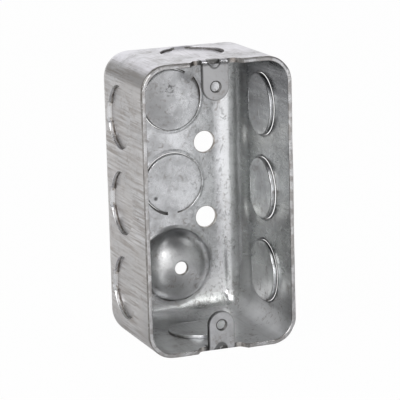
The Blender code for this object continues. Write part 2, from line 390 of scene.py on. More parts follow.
class Wire:
    """A shader socket that can be used in plain Python sums."""

    def __init__(self, tree, socket=None):
        self.tree = tree
        self.socket = socket

    def node(self, kind, settings=None, inputs=None, out=0):
        """Any node: its settings first, then the values or wires of its sockets."""
        made = self.tree.nodes.new(kind)
        for name, value in (settings or {}).items():
            setattr(made, name, value)
        for key, value in (inputs or {}).items():
            if isinstance(value, Wire):
                self.tree.links.new(value.socket, made.inputs[key])
            else:
                made.inputs[key].default_value = value
        return Wire(self.tree, made.outputs[out] if len(made.outputs) else None)

    def sum(self, operation, *terms):
        return self.node("ShaderNodeMath", {"operation": operation}, dict(enumerate(terms)))

    def __add__(self, other):
        return self.sum('ADD', self, other)

    def __radd__(self, other):
        return self.sum('ADD', other, self)

    def __sub__(self, other):
        return self.sum('SUBTRACT', self, other)

    def __rsub__(self, other):
        return self.sum('SUBTRACT', other, self)

    def __mul__(self, other):
        return self.sum('MULTIPLY', self, other)

    def __rmul__(self, other):
        return self.sum('MULTIPLY', other, self)

    def __abs__(self):
        return self.sum('ABSOLUTE', self)

    def most(self, *others):
        """Greatest of this wire and the others."""
        greatest = self
        for other in others:
            greatest = self.sum('MAXIMUM', greatest, other)
        return greatest

    def rise(self, low, high):
        """0 at low and 1 at high, smooth between; low may be the greater."""
        return self.node("ShaderNodeMapRange", {"interpolation_type": 'SMOOTHSTEP'},
                         {"Value": self, "From Min": low, "From Max": high})

    def blend(self, first, second):
        """Colour between two colours, with this wire as the share of the second."""
        return self.node("ShaderNodeMix", {"data_type": 'RGBA'},
                         {0: self, 6: first, 7: second}, out=2)

    def vector(self, operation, *others, out=0):
        """Vector Math node on this vector."""
        return self.node("ShaderNodeVectorMath", {"operation": operation},
                         dict(enumerate((self, *others))), out)

    def stretch(self, factors):
        """This vector with each axis scaled by its own factor."""
        return self.vector('MULTIPLY', factors)

    def shifted(self, offset):
        return self.vector('ADD', offset)

    def along(self, direction):
        """Part of this vector along a direction."""
        return self.vector('DOT_PRODUCT', direction, out="Value")

    def reach(self):
        """Length of this vector."""
        return self.vector('LENGTH', out="Value")

    def parts(self):
        """X, Y and Z of this vector."""
        split = self.node("ShaderNodeSeparateXYZ", None, {0: self})
        return [Wire(self.tree, socket) for socket in split.socket.node.outputs]

    def noise(self, scale, detail=2.0, roughness=0.5, distortion=0.0):
        """Noise from 0 to 1 on this vector."""
        return self.node("ShaderNodeTexNoise", None, {
            "Vector": self, "Scale": scale, "Detail": detail, "Roughness": roughness,
            "Distortion": distortion})


def blank_tree(owner):
    """Start of the emptied node tree of a material or a world."""
    owner.use_nodes = True
    owner.node_tree.nodes.clear()
    return Wire(owner.node_tree)


def rgba(colour):
    return (*colour, 1.0)


def painted(base, *layers):
    """Base colour under layers of (share, colour), each laid over the ones before it."""
    for share, colour in layers:
        base = share.blend(base, rgba(colour))
    return base


class Coat:
    """A metal in the making: its wires for place in millimetres, normal and outer side."""

    def __init__(self, name):
        self.material = bpy.data.materials.new(name)
        self.start = blank_tree(self.material)
        self.place = self.start.node("ShaderNodeTexCoord", out="Object").stretch((1 / MM,) * 3)
        self.x, self.y, self.z = self.place.parts()
        normal = self.start.node("ShaderNodeNewGeometry", out="Normal")
        self.normal_x, self.normal_y, self.normal_z = normal.parts()
        self.outside = normal.along(self.place.shifted((0, 0, -MID))).rise(0.5, 4.0)
        self.on_wall = abs(self.normal_y).rise(0.75, 0.35)

    def spot(self, centre, outer, inner):
        """1 within the inner distance of a place in millimetres and 0 beyond the outer one."""
        return self.place.shifted([-c for c in centre]).reach().rise(outer, inner)

    def off_axis(self, across, along):
        """Distance from an axis, from its two parts."""
        return self.start.sum('SQRT', across * across + along * along)

    def finish(self, colour, rough, relief):
        """Metal from colour, roughness and relief in millimetres."""
        bump = relief.node("ShaderNodeBump", None,
                           {"Strength": 1.0, "Distance": MM, "Height": relief})
        metal = self.start.node("ShaderNodeBsdfPrincipled", None, {
            "Base Color": colour, "Metallic": 1.0, "Roughness": rough, "Normal": bump})
        self.start.node("ShaderNodeOutputMaterial", None, {"Surface": metal})
        return self.material


def zinc_steel():
    """Zinc coated steel: dull patches, draw marks, scuffs, gouges and a slightly uneven sheet, with
    painted light and shade on some faces.
    """
    name = "zinc_coated_steel"
    if name in bpy.data.materials:
        return bpy.data.materials[name]
    scene = bpy.context.scene
    look = scene.utility_box_steel
    pitch = scene.utility_box_knockouts.pitch / MM
    ear_hole = (HEIGHT - scene.utility_box_ears.hole_pitch) / 2 / MM
    wall = (WIDTH / 2 - scene.utility_box_skin.sheet) / MM
    coat = Coat(name)
    place, x, y, z = coat.place, coat.x, coat.y, coat.z
    outside, on_wall = coat.outside, coat.on_wall
    inside = 1.0 - outside

    # Which way a face looks, which picks the painted light and shade of each face below
    side = abs(coat.normal_x).rise(0.55, 0.8) * outside
    end = abs(coat.normal_z).rise(0.55, 0.8) * outside
    back = coat.normal_y.rise(-0.5, -0.8)

    # Patches of the coat, from wide clouds to fine mottle
    clouds = place.noise(0.05, 3.0, 0.55, 0.6)
    mottle = place.shifted((31, 7, 53)).noise(0.26, 4.0, 0.62, 0.4)
    grain = place.shifted((3, 71, 19)).noise(2.0, 2.0, 0.6)
    dull = (clouds * 0.5 + mottle * 0.38 + grain * 0.12).rise(0.38, 0.66)
    smudges = place.shifted((17, 90, 4)).noise(0.42, 5.0, 0.72, 1.2).rise(0.53, 0.64)
    smudges = smudges * clouds.rise(0.40, 0.58)

    # Draw marks run from the rim to the back along the walls
    fine_lines = place.stretch((1.0, 0.035, 1.0)).noise(1.3, 3.0, 0.65)
    broad_lines = place.stretch((0.5, 0.022, 0.5)).shifted((11, 5, 2)).noise(1.2, 2.0, 0.6)
    mark_patches = place.stretch((1.0, 0.6, 1.0)).shifted((5, 17, 41)).noise(0.10, 3.0, 0.6)
    marks = fine_lines.rise(0.48, 0.60) * (mark_patches.rise(0.36, 0.60) * 0.75 + 0.25)
    marks = marks.most(broad_lines.rise(0.54, 0.70) * 0.6) * on_wall
    scuffed = marks * (side * 0.75 + end * 0.10 + 0.15)
    bright_lines = fine_lines.rise(0.46, 0.38) * side * mark_patches.rise(0.40, 0.62)

    # Boss, with two painted highlights and painted shade on its top, and painted shade on the back's
    # upper slug, darker toward its left
    on_boss = coat.spot((0, REAR - 4, MID - pitch), 15.2, 14.2)
    off_boss = 1.0 - on_boss
    highlit = on_boss * coat.spot((-6.5, REAR - 7, MID - 26.5), 7.5, 2.5).most(
        coat.spot((7.7, REAR - 7, MID - 20.5), 3.6, 1.2))
    boss_top_shade = on_boss * coat.spot((-1.5, REAR - 6, MID - 18.0), 7.0, 2.5) * 0.8
    slug_shade = coat.spot((0, REAR - 3, MID + pitch), 11.2, 10.6) * x.rise(8.0, -9.0)

    # Bends inside lightened as burnish and painted sheen, a painted highlight on the upward-facing bore
    # edges of the side walls, and painted light on the lower walls inside
    depthwise = abs(coat.normal_y)
    bend = depthwise.rise(0.45, 0.75) * depthwise.rise(0.985, 0.92) * inside * off_boss
    # Painted highlight: only the upward-facing lands of the side walls' bores are lightened
    bore_highlight = depthwise.rise(0.2, 0.4) * y.rise(13.4, 13.0) * coat.normal_z.rise(-0.10, 0.10)
    bore_highlight = bore_highlight * 0.8 * abs(x).rise(wall - 1.3, wall)
    drawn = bend.most(bore_highlight)
    # Painted light: the lower walls inside are lighter and rougher
    painted_low_light = inside * off_boss * z.rise(26, 7) * (x.rise(-12, 18) * 0.5 + 0.5)
    dull = dull * (1.0 - drawn * 0.6) * (1.0 - painted_low_light * 0.7)

    # Ears: darker tone, with painted shade that makes the upper ear darker than the lower; the dark rim
    # of the hole in the bend; and painted shade in a line round the tip, darker toward the left
    on_ear = abs(x).rise(5.4, 5.2) * y.rise(RIM + 6, RIM + 5)
    ear_shading = on_ear * (1.0 - end) * (z.rise(20, 80) * 0.5 + 0.5)
    from_end = MID - abs(z - MID)
    slant = (y - (RIM + 2.45) - from_end) * 0.707
    hole_rim = on_ear * coat.off_axis(x + 0.3, slant).rise(2.85, 2.45)
    ear_outline_shade = on_ear * coat.off_axis(x, (from_end - ear_hole).most(0.0)).rise(4.25, 4.65)
    ear_outline_shade = ear_outline_shade * (x.rise(2.0, -3.0) * 0.45 + 0.4)

    # Right wall: painted shade toward the top and the rim, and painted shade as a dark ring in each
    # bore
    right_wall = inside * on_wall
    painted_wall_shade = right_wall * z.rise(56, 92) * x.rise(18, 24)
    painted_wall_shade = painted_wall_shade.most(right_wall * x.rise(20, 25) * y.rise(-13, -22) * 0.45)
    painted_wall_shade = painted_wall_shade * (broad_lines.rise(0.30, 0.65) * 0.4 + 0.6)
    # Painted shade: a dark ring over the lip and slug side of each right-wall knockout
    rings = x.rise(wall - 0.95, wall - 0.65) * x.rise(wall - 0.01, wall - 0.07) * inside
    rings = rings * y.rise(12.1, 11.9) * abs(z - MID).rise(41.9, 41.5)

    # Gouges, scratches, specks and the scuffed front of the rim
    gouge_lines = place.stretch((0.9, 0.25, 0.5)).shifted((2, 44, 9)).noise(0.7, 4.0, 0.7, 0.8)
    gouge_spots = place.shifted((61, 13, 8)).noise(0.16, 2.0, 0.5)
    gouges = gouge_lines.rise(0.66, 0.74) * gouge_spots.rise(0.48, 0.60)
    scratches = place.stretch((1.0, 0.5, 1.0)).noise(0.55, 3.0, 0.6, 1.6)
    scratches = (scratches.rise(0.47, 0.495) * scratches.rise(0.53, 0.505)).most(gouges)
    scratches = scratches * coat.spot((wall, -16, 67), 13, 6).most(coat.spot((wall, -20, 92), 12, 5))
    specks = coat.spot((-6.8, 21.0, 45.7), 1.3, 0.6).most(
        coat.spot((-0.9, 20.8, 84.9), 4.0, 1.5) * place.noise(0.8, 3.0, 0.7).rise(0.50, 0.62) * 0.8)
    scuffs = gouge_lines.rise(0.53, 0.64) * back * off_boss * x.rise(2, 9) * 0.4
    rim_face = y.rise(RIM + 1.2, RIM + 0.4) * (mottle.rise(0.40, 0.60) * 0.55 + 0.30)
    # Dark marks with painted shade: gouges, specks, scuffs, scratches and the bend hole's dark rim,
    # plus the painted shade of the tip line and the right wall's rings
    dark = (gouges * 0.75).most(
        specks, scuffs, hole_rim * 0.8, ear_outline_shade, rings * 0.95, scratches * 0.6)

    # Most early layers are painted light and shade: by face direction, burnish with painted sheen,
    # painted highlights, and painted shade on boss, back slug, ears and right wall. The dull patches,
    # scuffed rim, draw marks, smudges and gouges are the coat's own, and the dark layer also carries
    # painted shade
    colour = painted(
        rgba(look.zinc),
        (on_wall, look.inner_reflection_tint), (back, look.back_painted_light),
        (side, look.side_painted_shade), (end, look.end_painted_light),
        (drawn, look.burnish_and_sheen), (painted_low_light, look.painted_light),
        (on_boss, look.boss_tint), (highlit, look.painted_light), (boss_top_shade, look.shade),
        (slug_shade * 0.8, look.tarnish_and_shade), (ear_shading, look.ear_tone_and_shade), (rim_face, look.scuff),
        (dull * 0.8, look.tarnish_and_shade), (painted_wall_shade * 0.9, look.shade),
        (smudges * 0.6, look.scuff), (scuffed * 0.9, look.scuff),
        (bright_lines * 0.4, look.zinc), (dark, look.gouge_and_shade))

    rough = dull * 0.08 + look.roughness - drawn * 0.07 + on_boss * 0.03 + outside * 0.04
    rough = rough + scuffed * 0.16 + gouges * 0.2 + smudges * 0.08
    rough = rough + painted_low_light * (1.0 - bend) * 0.18

    # Uneven sheet, in millimetres of height
    waves = place.shifted((9, 3, 27)).noise(0.06, 1.0, 0.4) * 0.30
    dents = place.shifted((1, 2, 3)).noise(0.22, 2.0, 0.5) * 0.06
    lines = (fine_lines * 0.012 + broad_lines * 0.03) * on_wall
    pits = grain * 0.008 + mottle * 0.05 - gouges * 0.03
    pits = pits + place.noise(0.5, 4.0, 0.65) * on_boss.most(on_ear) * 0.10
    return coat.finish(colour, rough, waves + dents + lines + pits)


def sheared_steel():
    """Bare sheared edge: darker and browner than the zinc, still shiny, with fine tear lines."""
    name = "sheared_steel"
    if name in bpy.data.materials:
        return bpy.data.materials[name]
    look = bpy.context.scene.utility_box_steel
    coat = Coat(name)
    x, y, z = coat.x, coat.y, coat.z
    mottle = coat.place.noise(0.5, 3.0, 0.6)
    nicks = coat.place.shifted((8, 3, 5)).noise(0.9, 4.0, 0.7, 0.5)
    tears = coat.place.shifted((2, 9, 4)).noise(3.0, 2.0, 0.6)

    # Where the edge is darker: painted shade on the ears' sides, in the end walls' and the back's bores
    # and on the right slugs' sides, and a darker rim
    ear_side_shade = abs(x).rise(6.5, 5.5) * y.rise(RIM + 6.5, RIM + 5.5)
    rim = y.rise(RIM + 2.2, RIM + 1.4)
    end_bore_shade = abs(z - MID).rise(MID - 2.4, MID - 1.8) * y.rise(RIM + 6, RIM + 9)
    back_bore_shade = y.rise(REAR - 1.3, REAR - 0.9) * x.rise(11.9, 11.6)
    slug_side_shade = x.rise(24.9, 25.2) * x.rise(26.0, 25.8)
    dark = (nicks.rise(0.60, 0.70) * 0.8).most(
        ear_side_shade * 0.9, rim * 0.55, end_bore_shade * 0.6, back_bore_shade * 0.9, slug_side_shade * 0.9)

    colour = mottle.rise(0.35, 0.65).blend(rgba(look.edge), rgba(look.scuff))
    colour = painted(colour, (dark, look.gouge_and_shade), (nicks.rise(0.40, 0.32) * 0.8, look.zinc))
    rough = mottle * 0.15 + look.roughness
    return coat.finish(colour, rough, mottle * 0.12 + tears * 0.01 + nicks * 0.05)


# Places and forms that several pieces share

def ends():
    """The upper end, and the lower end as its half turn round the middle."""
    flip = (Matrix.Translation(MIDDLE) @ Matrix.Rotation(math.pi, 4, 'Y')
            @ Matrix.Translation(-MIDDLE))
    return (("upper", Matrix.Identity(4)), ("lower", flip))


def knockout_places(sizes):
    """Name, place on the outer face, inward and tie directions, tie width, step there and tilt."""
    across = FRONT + sizes.from_rim
    to_back = (0, 1, 0)
    side_tilts = iter((1.2, 0.4, -0.6, 0.9, -0.3, 0.7))
    end_tilt = 1.9
    places = []
    for row, lift in (("lower", -sizes.pitch), ("middle", 0.0), ("upper", sizes.pitch)):
        for side, sign in (("left", -1), ("right", 1)):
            places.append((side + "_" + row, (sign * WIDTH / 2, across, HEIGHT / 2 + lift),
                           (-sign, 0, 0), to_back, sizes.wall_tie, sizes.shift, next(side_tilts)))
    for name, height, inward in (("bottom", 0, (0, 0, 1)), ("top", HEIGHT, (0, 0, -1))):
        places.append((name, (0, across, height),
                       inward, to_back, sizes.wall_tie, sizes.end_step, end_tilt))
    for row, lift, to_tie, tilt in (("middle", 0.0, (-0.03, 0, -1), 3.0),
                                    ("upper", sizes.pitch, (0.65, 0, 0.76), 3.4)):
        places.append(("back_" + row, (0, BACK, HEIGHT / 2 + lift),
                       (0, -1, 0), to_tie, sizes.back_tie, sizes.back_step, tilt))
    return places


def gap_share(turn, tie_width):
    """How wide the torn gap is at an angle from the tie, as a share of its greatest width."""
    if tie_width > WALL_TIE_FROM:
        return 0.0
    turn = math.remainder(turn, math.tau)
    beyond = max(abs(turn) - 0.2, 0.0)
    return math.exp(-(beyond / 0.85) ** 2) * (1.0 if turn < 0 else 0.35)


def boss_frame(context, back=False):
    """Frame of the ground boss, with Z toward the front, on the back's inner or outer face."""
    sheet = context.scene.utility_box_skin.sheet
    pitch = context.scene.utility_box_knockouts.pitch
    place = (0, BACK - (0 if back else sheet), HEIGHT / 2 - pitch)
    return frame_at(place, (0, -1, 0), (1, 0, 0))


# Operators

class BOX_OT_skin(bpy.types.Operator):
    """Build the drawn skin with its bores, notches and screw holes"""
    bl_idname = "utility_box.skin"
    bl_label = "Skin"

    # Points of the rim's section, and how many of its rows, from the outside, are sheared
    rim_points = 15
    sheared_rows = 5
    # Depth behind the front plane at which the rim's section meets the plain wall
    rim_depth = 2.2 * MM

    def execute(self, context):
        sizes = context.scene.utility_box_skin
        skin = self.loft(sizes)
        carve(skin, self.bores(context, sizes) + self.screw_holes(sizes)
              + self.boss_opening(context, sizes) + self.notches(sizes))
        for x, z in self.screw_places(sizes):
            if skin.ray_cast(Vector((x, 0, z)), Vector((0, 1, 0)))[0]:
                raise RuntimeError("a screw hole in the back isn't open")
        finish_piece(skin)
        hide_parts("box_shell")
        return {'FINISHED'}

    def loft(self, sizes):
        """Closed loft: outer back, outer walls, worn rim, inner walls, inner back."""
        sheet = sizes.sheet
        angles = [math.pi / 2 * i / sizes.steps for i in range(sizes.steps + 1)]

        def heel_row(angle, inner):
            """Depth, inset and corner radius of one row of the heel."""
            pulled = sizes.heel * (1 - math.cos(angle))
            radius = sizes.heel - (sheet if inner else 0)
            inset = sheet + radius * (1 - math.cos(angle)) if inner else pulled
            corner = max(sizes.corner - pulled, sizes.heel_corner)
            corner -= sheet * math.cos(angle) if inner else 0
            return (BACK - sizes.heel + radius * math.sin(angle), inset, corner)

        rows = [heel_row(angle, False) for angle in reversed(angles)]
        rim_start = len(rows)
        rows += [(FRONT, 0.0, sizes.corner)] * self.rim_points
        rim_end = len(rows)
        rows += [heel_row(angle, True) for angle in angles]
        builder = bmesh.new()
        loops = []
        for number, (y, inset, radius) in enumerate(rows):
            points = rounded_outline(WIDTH / 2 - inset, HEIGHT / 2 - inset, radius, sizes.steps)
            loop = []
            for i, (point, out) in enumerate(points):
                if rim_start <= number < rim_end:
                    pull, depth = self.rim_point(sizes, i / len(points), number - rim_start)
                    place = point - out * pull + Vector((0, FRONT + depth, 0))
                else:
                    place = point + Vector((0, y, 0))
                loop.append(builder.verts.new(place))
            loops.append(loop)
        tube(builder, loops)
        for loop in loops[rim_start:rim_start + self.sheared_rows]:
            for corner in loop:
                for face in corner.link_faces:
                    if all(v.co.y < FRONT + 2 * MM for v in face.verts):
                        face.material_index = SHEARED
        return new_piece("steel_skin", builder)

    def rim_point(self, sizes, share, number):
        """Inward pull and depth behind the front plane of one point of the rim's uneven section."""
        outside = sizes.lip_outside * (0.65 + 0.6 * wobble(share, 1))
        inside = sizes.lip_inside * (0.6 + 0.9 * wobble(share, 2))
        behind = sizes.rim_wave * max(0.0, wobble(share, 3) - 0.35)
        longer = 1.25
        centre = outside * longer
        section = [(0.0, self.rim_depth)]
        section += [(across, centre + (depth - centre) * longer)
                    for across, depth in arc((outside, centre), outside, 180, 270, 6)]
        section += arc((sizes.sheet - inside, inside), inside, 270, 360, 5)
        section.append((sizes.sheet, self.rim_depth))
        pull, depth = section[number]
        return pull, depth + behind * max(0.0, 1 - depth / self.rim_depth)

    def bores(self, context, sizes):
        knockout = context.scene.utility_box_knockouts
        tools = []
        for name, place, inward, to_tie, tie_width, step, _ in knockout_places(knockout):
            land = self.land(knockout, step)
            builder = bmesh.new()
            turned(builder,
                   lambda angle: self.bore_profile(knockout, sizes, angle, tie_width, step),
                   knockout.steps)
            tools.append(cutting_tool(
                name + "_bore", builder, frame_at(place, inward, to_tie), land))
        return tools

    def land(self, knockout, step):
        """Depth of a bore's burnished part, which is deep on the sides only."""
        return knockout.land if step == knockout.shift else knockout.back_land

    def bore_profile(self, knockout, sizes, angle, tie_width, step):
        """Section of a bore: edge drawn in, deepest by the tie, then sheared, then broken wider."""
        bore = knockout.bore / 2
        turn = math.remainder(angle, math.tau)
        spread = depth = knockout.edge
        land = self.land(knockout, step)
        if tie_width > WALL_TIE_FROM:
            at_tie = smooth((0.37 - abs(turn)) / 0.09)
            on_side = step == knockout.shift
            beside = math.exp(-((turn + 0.25) / 0.30) ** 2) if on_side else 0.0
            spread = max(knockout.dish_spread * at_tie, 1.1 * MM * beside, spread)
            depth = max((step + 0.01 * MM) * at_tie, 0.7 * MM * beside, depth)
            land = max(land, depth + 0.02 * MM)
        gap = knockout.gap * gap_share(turn, tie_width)
        # No ring of corners lies on the sheet's own faces, where a cut could leave it open
        slope = [(bore + spread * (1 - i / 9), depth * smooth(i / 9 * 1.25)) for i in range(1, 10)]
        return [(0, -PAST), (bore + spread + 0.5 * MM, -PAST),
                (bore + spread + 0.1 * MM, -0.005 * MM)] + slope + [
                (bore, land), (bore + 0.02 * MM + gap, land + 0.06 * MM),
                (bore + 0.03 * MM + gap, sizes.sheet - 0.04 * MM),
                (bore + gap + 0.12 * MM, sizes.sheet + 0.03 * MM),
                (bore + gap + 0.12 * MM, sizes.sheet + PAST), (0, sizes.sheet + PAST)]

    def screw_places(self, sizes):
        """Across and height of the two screw holes, the lower one first."""
        return [(sizes.screw_side, HEIGHT / 2 + sign * sizes.screw_pitch / 2) for sign in (-1, 1)]

    def screw_holes(self, sizes):
        sheet = sizes.sheet
        radius = sizes.screw_hole / 2
        profile = [(0, -PAST), (radius + 0.3 * MM, -PAST), (radius + 0.2 * MM, -0.02 * MM),
                   (radius, 0.25 * MM), (radius, sheet - 0.3 * MM),
                   (radius + 0.08 * MM, sheet - 0.08 * MM), (radius + 0.3 * MM, sheet + 0.02 * MM),
                   (radius + 0.4 * MM, sheet + PAST), (0, sheet + PAST)]
        tools = []
        for x, z in self.screw_places(sizes):
            builder = bmesh.new()
            turned(builder, profile, 64)
            place = frame_at((x, BACK, z), (0, -1, 0), (1, 0, 0))
            tools.append(cutting_tool("screw_hole", builder, place, 0.2 * MM))
        return tools

    def boss_opening(self, context, sizes):
        boss = context.scene.utility_box_boss
        opening = boss.radius + 0.35 * MM
        profile = [(0, -PAST), (opening, -PAST),
                   (opening, sizes.sheet + PAST), (0, sizes.sheet + PAST)]
        builder = bmesh.new()
        turned(builder, profile, boss.steps, boss_frame(context, back=True))
        return [cutting_tool("boss_opening", builder)]

    def notches(self, sizes):
        """Notch in each end wall's rim that narrows toward a floor with round corners."""
        slope = (sizes.notch_mouth - sizes.notch_floor) / 2 / sizes.notch_depth
        tools = []
        for name, placing in ends():
            builder = bmesh.new()
            bmesh.ops.create_cube(builder, size=1.0)
            for corner in builder.verts:
                deep = corner.co.y > 0
                half = sizes.notch_floor / 2 if deep else sizes.notch_mouth / 2 + slope * PAST
                corner.co = (math.copysign(half, corner.co.x),
                             FRONT + (sizes.notch_depth if deep else -PAST),
                             HEIGHT + (PAST if corner.co.z > 0 else -sizes.sheet - PAST))
            floor_edges = [
                edge for edge in builder.edges
                if all(abs(v.co.y - FRONT - sizes.notch_depth) < 1e-6 for v in edge.verts)
                and abs(edge.verts[0].co.x - edge.verts[1].co.x) < 1e-6]
            bmesh.ops.bevel(builder, geom=floor_edges, offset=0.8 * MM, segments=5,
                            affect='EDGES', profile=0.5)
            tools.append(cutting_tool(name + "_notch", builder, placing))
        return tools


class BOX_OT_knockouts(bpy.types.Operator):
    """Build the ten sheared slugs, each with its tie and the raised lip round it"""
    bl_idname = "utility_box.knockouts"
    bl_label = "Knockouts"

    def execute(self, context):
        sizes = context.scene.utility_box_knockouts
        sheet = context.scene.utility_box_skin.sheet
        for name, place, inward, to_tie, tie_width, step, tilt in knockout_places(sizes):
            builder = bmesh.new()
            self.slug(builder, sizes, sheet, tilt, tie_width, step)
            self.tie(builder, sizes, sheet, tilt, tie_width, step)
            self.lip(builder, sizes, sheet, tie_width)
            finish_piece(new_piece("knockout_" + name, builder, frame_at(place, inward, to_tie)))
        return {'FINISHED'}

    def sag(self, sizes, x, y, tie_width, step):
        """How far the slug's inner face dips toward the wall at a place near the tie."""
        reach = 5 * MM if tie_width < WALL_TIE_FROM else 2.6 * MM
        start = sizes.bore / 2 - reach
        along = smooth((x - start) / (reach + 1.8 * MM))
        across = smooth((tie_width / 2 + 2.2 * MM - abs(y)) / (2.4 * MM))
        return step * along * across

    def slug(self, builder, sizes, sheet, tilt, tie_width, step):
        """Dished disc with a rolled inner edge and a sheared side, drawn down at the tie."""
        rim = sizes.bore / 2 - sizes.crack
        outer = sizes.shift
        inner = outer + sheet
        roll = sizes.roll
        rings = 14
        profile = [(rim * 0.9 * i / rings, inner + sizes.dish * ((i / rings) ** 2 - 1))
                   for i in range(rings)]
        profile.append((rim - roll - 0.35 * MM, inner - 0.01 * MM))
        profile += arc((rim - roll, inner - roll), roll, 90, 0, 8)
        profile += [(rim, inner - roll - 0.4 * MM), (rim, outer + 0.25 * MM),
                    (rim - 0.08 * MM, outer + 0.08 * MM), (rim - 0.25 * MM, outer),
                    (rim - 0.5 * MM, outer - 0.03 * MM), (rim - 0.9 * MM, outer),
                    (0, outer + 0.04 * MM)]
        hinge = Matrix.Translation((rim, 0, outer))
        swing = hinge @ Matrix.Rotation(math.radians(tilt), 4, 'Y') @ hinge.inverted()
        swing = Matrix.Translation((0, 0, step - outer)) @ swing

        def drawn_profile(angle):
            points = []
            for radius, height in profile:
                share = min(max((height - outer) / sheet, 0.0), 1.0)
                fall = self.sag(sizes, radius * math.cos(angle), radius * math.sin(angle),
                                tie_width, step)
                points.append((radius, height - fall * share))
            return points

        turned(builder, drawn_profile, sizes.steps, swing)
        for face in builder.faces:
            radial = min(math.hypot(v.co.x, v.co.y) for v in face.verts)
            height = max(v.co.z for v in face.verts)
            if radial > rim - 0.3 * MM and height < step + 0.6 * MM:
                face.material_index = SHEARED

    def tie(self, builder, sizes, sheet, tilt, width, step):
        """Strip that steps down from the wall to the slug; its two faces bend at different places."""
        bore = sizes.bore / 2
        steps = 30
        start = bore + 2.8 * MM
        end = bore - 2.2 * MM
        rings = []
        for i in range(steps + 1):
            radial = start + (end - start) * i / steps
            outer = step * smooth((bore + 2.2 * MM - radial) / (2.0 * MM)) + SUNK
            inner = step - self.sag(sizes, radial, 0, width, step)
            inner += max(bore - radial, 0.0) * math.tan(math.radians(tilt))
            rise = (0.04 * MM + SUNK) * smooth(2 * i / steps) - SUNK
            top = inner + sheet + rise
            half = width / 2 * (1 + 0.16 * abs(2 * i / steps - 1) ** 3)
            rings.append([builder.verts.new((radial, across, height)) for across, height in (
                (-half, outer), (0, outer), (half, outer), (half, top), (0, top), (-half, top))])
        tube(builder, rings, sheared=(2, 5))

    def lip(self, builder, sizes, sheet, tie_width):
        """Low ring of dragged metal on the wall's inner face, open at the tie."""
        bore = sizes.bore / 2
        tallest = sizes.lip * (0.4 if tie_width > WALL_TIE_FROM else 1.0)
        # Out from the bore in millimetres, and up: as a share of the lip's height, or under the face
        section = [(0.03, -0.75), (0.05, -0.35), (0.09, 0.4), (0.2, 0.9), (0.42, 1.0), (0.7, 0.7),
                   (1.0, 0.25), (1.4, -0.08), (1.4, -0.75)]
        opening = math.asin(min((tie_width / 2 + 0.1 * MM) / bore, 1.0))
        steps = sizes.steps
        rings = []
        for i in range(steps + 1):
            angle = opening + (math.tau - 2 * opening) * i / steps
            fade = min(1.0, 5.0 * min(i, steps - i) / steps)
            height = tallest * (0.55 + 0.75 * wobble(i / steps, 5)) * fade
            gap = bore + sizes.gap * gap_share(angle, tie_width)
            ring = []
            for out, up in section:
                radial = gap + out * MM
                lift = up * height if up > 0 else up * MM if up < -0.3 else -SUNK
                ring.append(builder.verts.new(
                    (radial * math.cos(angle), radial * math.sin(angle), sheet + lift)))
            rings.append(ring)
        tube(builder, rings, sheared=(0, 1))


class BOX_OT_boss(bpy.types.Operator):
    """Build the raised ground boss with its tapped hole"""
    bl_idname = "utility_box.boss"
    bl_label = "Ground boss"

    steps = 40

    def execute(self, context):
        sizes = context.scene.utility_box_boss
        sheet = context.scene.utility_box_skin.sheet
        hole = sizes.hole / 2
        place = boss_frame(context)
        profile = self.outside(sizes, hole, sheet) + self.inside(sizes, hole, sheet)
        profile += thread(hole, hole + 0.16 * MM, sizes.height - sheet + 0.15 * MM,
                          sheet - 0.7 * MM)
        builder = bmesh.new()
        turned(builder, profile, sizes.steps, place)
        piece = new_piece("ground_boss", builder)
        middle = place.translation
        for face in piece.data.polygons:
            away = math.hypot(face.center.x - middle.x, face.center.z - middle.z)
            if away < hole + 0.18 * MM:
                face.material_index = SHEARED
        finish_piece(piece)
        return {'FINISHED'}

    def lift(self, sizes, radius):
        """Height of the boss at a radius: one smooth curve from the middle to the foot."""
        share = min(radius / sizes.radius, 1.0)
        return sizes.height * (1 - share ** sizes.swell) ** (1 / 1.9)

    def outside(self, sizes, hole, sheet):
        """Section from the hole's worn edge over the boss to its foot and under the flange."""
        top = sizes.height
        start = hole + 0.6 * MM
        points = [(hole, top - 0.55 * MM), (hole + 0.12 * MM, top - 0.25 * MM),
                  (hole + 0.32 * MM, top - 0.10 * MM), (start, self.lift(sizes, start))]
        for i in range(1, self.steps):
            share = math.sin(math.pi / 2 * i / self.steps)
            radius = start + (sizes.radius - hole - 0.6 * MM) * share
            points.append((radius, self.lift(sizes, radius)))
        points = [point for point in points if point[1] > sizes.toe]
        last = points[-1]
        foot = (sizes.radius + sizes.toe * 1.6, -SUNK)
        for i in range(1, 7):
            share = i / 6
            points.append((last[0] + (foot[0] - last[0]) * share ** 1.6,
                           last[1] + (foot[1] - last[1]) * (1 - (1 - share) ** 1.6)))
        return points + [
            (foot[0] + 0.3 * MM, -SUNK * 4), (foot[0] + 0.3 * MM, -sheet + SUNK * 4),
            (foot[0], -sheet + SUNK), (sizes.radius + 0.1 * MM, -sheet)]

    def inside(self, sizes, hole, sheet):
        """Section of the hollow side, from the rounded foot up to the hole."""
        roll = 0.8 * MM
        widest = sizes.radius - sheet
        points = [(widest + roll * (1 - math.cos(math.radians(a))),
                   -sheet + roll * (1 - math.sin(math.radians(a)))) for a in range(80, 0, -16)]
        for i in range(self.steps + 1):
            radius = widest - (widest - hole - 0.3 * MM) * i / self.steps
            outer = min(radius + sheet * 0.55 * (radius / sizes.radius) ** 2, sizes.radius)
            points.append((radius, max(self.lift(sizes, outer) - sheet, -sheet + roll)))
        return points


